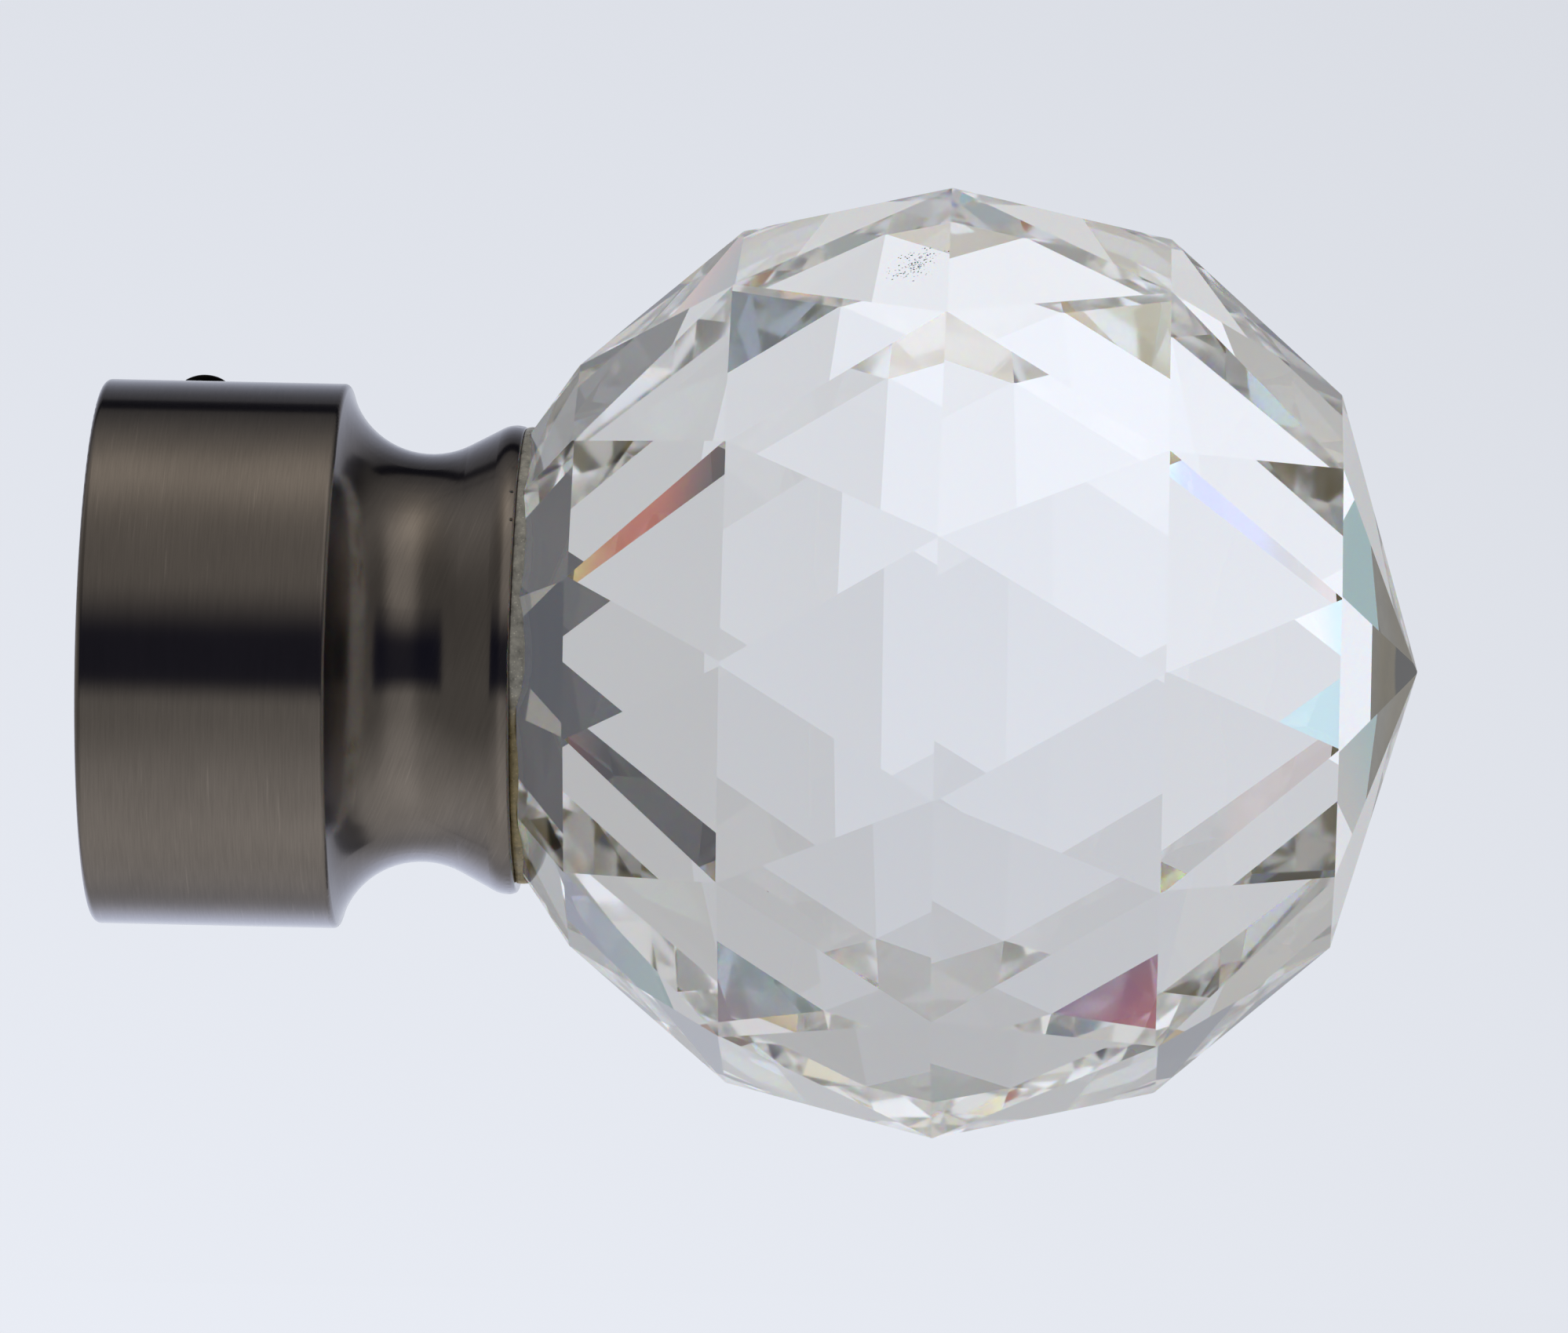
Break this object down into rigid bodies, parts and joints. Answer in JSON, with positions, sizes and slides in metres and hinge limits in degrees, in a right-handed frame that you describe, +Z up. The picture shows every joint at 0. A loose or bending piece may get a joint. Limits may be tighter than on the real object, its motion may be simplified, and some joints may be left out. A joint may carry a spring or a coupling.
{
  "type": "curtain pole finial",
  "caption": "End finial for a curtain pole: a turned dark metal ferrule that slips over the pole, with a faceted clear crystal ball bonded to its lip and a grub screw that clamps it.",
  "frame": {"origin": "centre of the ferrule's mouth, where the pole goes in", "axes": "+X along the pole's axis from the mouth towards the ball's apex, +Z up, -Y towards the viewer"},
  "size_m": [0.078, 0.0556, 0.0557],
  "materials": {
    "ferrule_metal": "brushed black nickel, lacquered",
    "cut_crystal": "cut and polished clear crystal",
    "clear_adhesive": "cured clear adhesive with fine bubbles",
    "black_screw_steel": "black oxide"
  },
  "bodies": {
    "finial": {"ferrule": "ferrule_metal", "crystal_ball": "cut_crystal", "adhesive_bond": "clear_adhesive"},
    "screw": {"grub_screw": "black_screw_steel"}
  },
  "joints": [
    {"name": "grub_screw_travel", "type": "slide", "parent": "finial", "child": "screw", "axis": [0, -0.5, -0.866], "range_m": [0, 0.002]}
  ]
}
